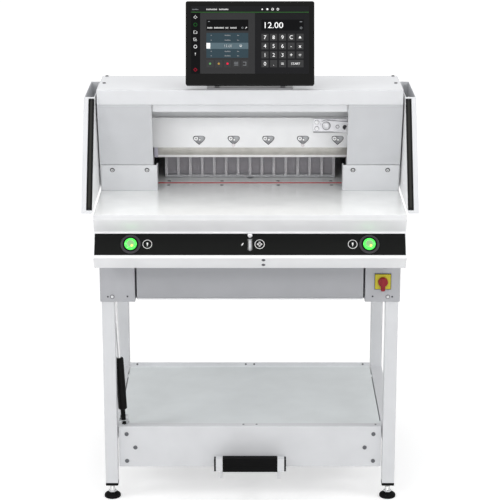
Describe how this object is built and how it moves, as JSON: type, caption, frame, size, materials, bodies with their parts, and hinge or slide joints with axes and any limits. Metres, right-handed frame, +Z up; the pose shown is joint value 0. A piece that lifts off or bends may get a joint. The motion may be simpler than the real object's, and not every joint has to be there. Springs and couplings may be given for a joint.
{
  "type": "electric paper cutter",
  "caption": "Floor-standing electric paper cutter with slanting knife, clamp, backgauge, tilting touch terminal, side light guards, control strip, storage shelf and foot pedal.",
  "frame": {"origin": "on the floor under the middle of the machine's bounding box", "axes": "+X to the operator's right, +Y to the rear, +Z up"},
  "size_m": [0.9578, 1.08, 1.5088],
  "materials": {
    "light_paint": "fine textured light grey-white powder coat",
    "grey_paint": "satin mid grey paint",
    "cast": "painted casting, matt",
    "steel": "machined steel",
    "knife_steel": "ground and honed steel",
    "aluminium": "anodised",
    "black_plastic": "matt black",
    "black_gloss": "glossy black",
    "screen": "glossy display glass",
    "rubber": "ribbed black rubber",
    "red_stick": "red plastic",
    "green_lens": "bright green dome",
    "yellow": "yellow plate",
    "switch_red": "red knob"
  },
  "bodies": {
    "machine": {"stand_left": "light_paint", "stand_right": "light_paint", "shelf_tray": "light_paint", "table_front": "light_paint", "table_rear": "light_paint", "console_shell": "light_paint", "leg_cover_left": "light_paint", "leg_cover_right": "light_paint", "side_panel_left": "light_paint", "side_panel_right": "light_paint", "column_cover_left": "light_paint", "column_cover_right": "light_paint", "lower_guard_left": "light_paint", "lower_guard_right": "light_paint", "wing_left": "light_paint", "wing_right": "light_paint", "rear_and_bottom_pan": "light_paint", "top_cover": "light_paint", "rear_cover": "light_paint", "rear_housing": "light_paint", "lower_front_panel": "grey_paint", "knife_gear_motor": "grey_paint", "hydraulic_unit": "grey_paint", "screen_base": "grey_paint", "bed_casting": "cast", "side_frame_left": "cast", "side_frame_right": "cast", "cross_beam": "cast", "clamp_cylinder": "steel", "foot_front_left": "black_plastic", "foot_front_right": "black_plastic", "foot_rear_left": "black_plastic", "foot_rear_right": "black_plastic", "backgauge_motor": "black_plastic", "control_strip": "black_gloss", "light_bar_left": "black_gloss", "light_bar_right": "black_gloss", "cutting_stick": "red_stick", "switch_plate": "yellow"},
    "knife": {"knife_carrier": "light_paint", "knife_blade": "knife_steel", "knife_arm": "steel"},
    "pull_bar": {"pull_bar": "steel"},
    "drive_nut": {"drive_nut": "steel"},
    "clamp": {"clamp_beam": "cast", "clamp_piston": "steel"},
    "backgauge": {"backgauge_face": "aluminium", "backgauge_carriage": "cast"},
    "lead_screw": {"lead_screw": "steel"},
    "start_button_left": {"start_button_left": "green_lens"},
    "start_button_right": {"start_button_right": "green_lens"},
    "hand_wheel": {"hand_wheel": "grey_paint"},
    "centre_button": {"centre_button": "grey_paint"},
    "switch_knob": {"switch_knob": "switch_red"},
    "pedal": {"pedal_frame": "light_paint", "pedal_pad": "rubber"},
    "strut_lower": {"strut_tube": "black_plastic"},
    "strut_upper": {"strut_rod": "steel"},
    "screen": {"screen_housing": "black_plastic", "screen_glass": "screen"}
  },
  "joints": [
    {"name": "knife_slide", "type": "slide", "parent": "machine", "child": "knife", "axis": [-0.5665, 0, -0.824], "range_m": [0, 0.0955]},
    {"name": "pull_bar_slide", "type": "slide", "parent": "machine", "child": "pull_bar", "axis": [0, 0, -1], "range_m": [0, 0.0788]},
    {"name": "drive_nut_turn", "type": "hinge", "parent": "machine", "child": "drive_nut", "pos_m": [0.37, -0.1803, 0.8493], "axis": [0, 0, 1], "range_deg": [0, 1420]},
    {"name": "clamp_slide", "type": "slide", "parent": "machine", "child": "clamp", "axis": [0, 0, -1], "range_m": [0, 0.0815]},
    {"name": "backgauge_slide", "type": "slide", "parent": "machine", "child": "backgauge", "axis": [0, 1, 0], "range_m": [-0.006, 0.42]},
    {"name": "lead_screw_turn", "type": "hinge", "parent": "machine", "child": "lead_screw", "pos_m": [0, 0.2, 0.896], "axis": [0, 1, 0], "range_deg": [-220, 15130]},
    {"name": "start_button_left_press", "type": "slide", "parent": "machine", "child": "start_button_left", "axis": [0, 0.7945, -0.6072], "range_m": [0, 0.0025], "stiffness_N_per_m": 600, "springref_m": -0.002},
    {"name": "start_button_right_press", "type": "slide", "parent": "machine", "child": "start_button_right", "axis": [0, 0.7945, -0.6072], "range_m": [0, 0.0025], "stiffness_N_per_m": 600, "springref_m": -0.002},
    {"name": "hand_wheel_turn", "type": "hinge", "parent": "machine", "child": "hand_wheel", "pos_m": [0, -0.50214, 0.84007], "axis": [1, 0, 0], "continuous": true},
    {"name": "centre_button_press", "type": "slide", "parent": "machine", "child": "centre_button", "axis": [0, 0.7945, -0.6072], "range_m": [0, 0.0025], "stiffness_N_per_m": 400, "springref_m": -0.002},
    {"name": "main_switch_turn", "type": "hinge", "parent": "machine", "child": "switch_knob", "pos_m": [0.3924, -0.376, 0.6945], "axis": [0, 1, 0], "range_deg": [0, 90]},
    {"name": "pedal_press", "type": "hinge", "parent": "machine", "child": "pedal", "pos_m": [0, -0.25, 0.15], "axis": [1, 0, 0], "range_deg": [0, 10], "stiffness_Nm_per_rad": 20, "springref_deg": -17.19},
    {"name": "strut_foot_turn", "type": "hinge", "parent": "pedal", "child": "strut_lower", "pos_m": [-0.387, -0.3, 0.241], "axis": [1, 0, 0], "range_deg": [-12.2, 0.5]},
    {"name": "strut_extend", "type": "slide", "parent": "strut_lower", "child": "strut_upper", "axis": [-0.0523, 0, 0.9986], "range_m": [0, 0.0105]},
    {"name": "screen_tilt", "type": "hinge", "parent": "machine", "child": "screen", "pos_m": [0, -0.29655, 1.27957], "axis": [1, 0, 0], "range_deg": [-25, 15.5]}
  ],
  "couplings": [
    {"joint": "pull_bar_slide", "follows": "knife_slide", "ratio": 0.82404},
    {"joint": "drive_nut_turn", "follows": "knife_slide", "rad_per_m": 258.88},
    {"joint": "lead_screw_turn", "follows": "backgauge_slide", "rad_per_m": 628.32},
    {"joint": "strut_foot_turn", "follows": "pedal_press", "ratio": -1.1877},
    {"joint": "strut_extend", "follows": "pedal_press", "m_per_rad": 0.05916}
  ]
}
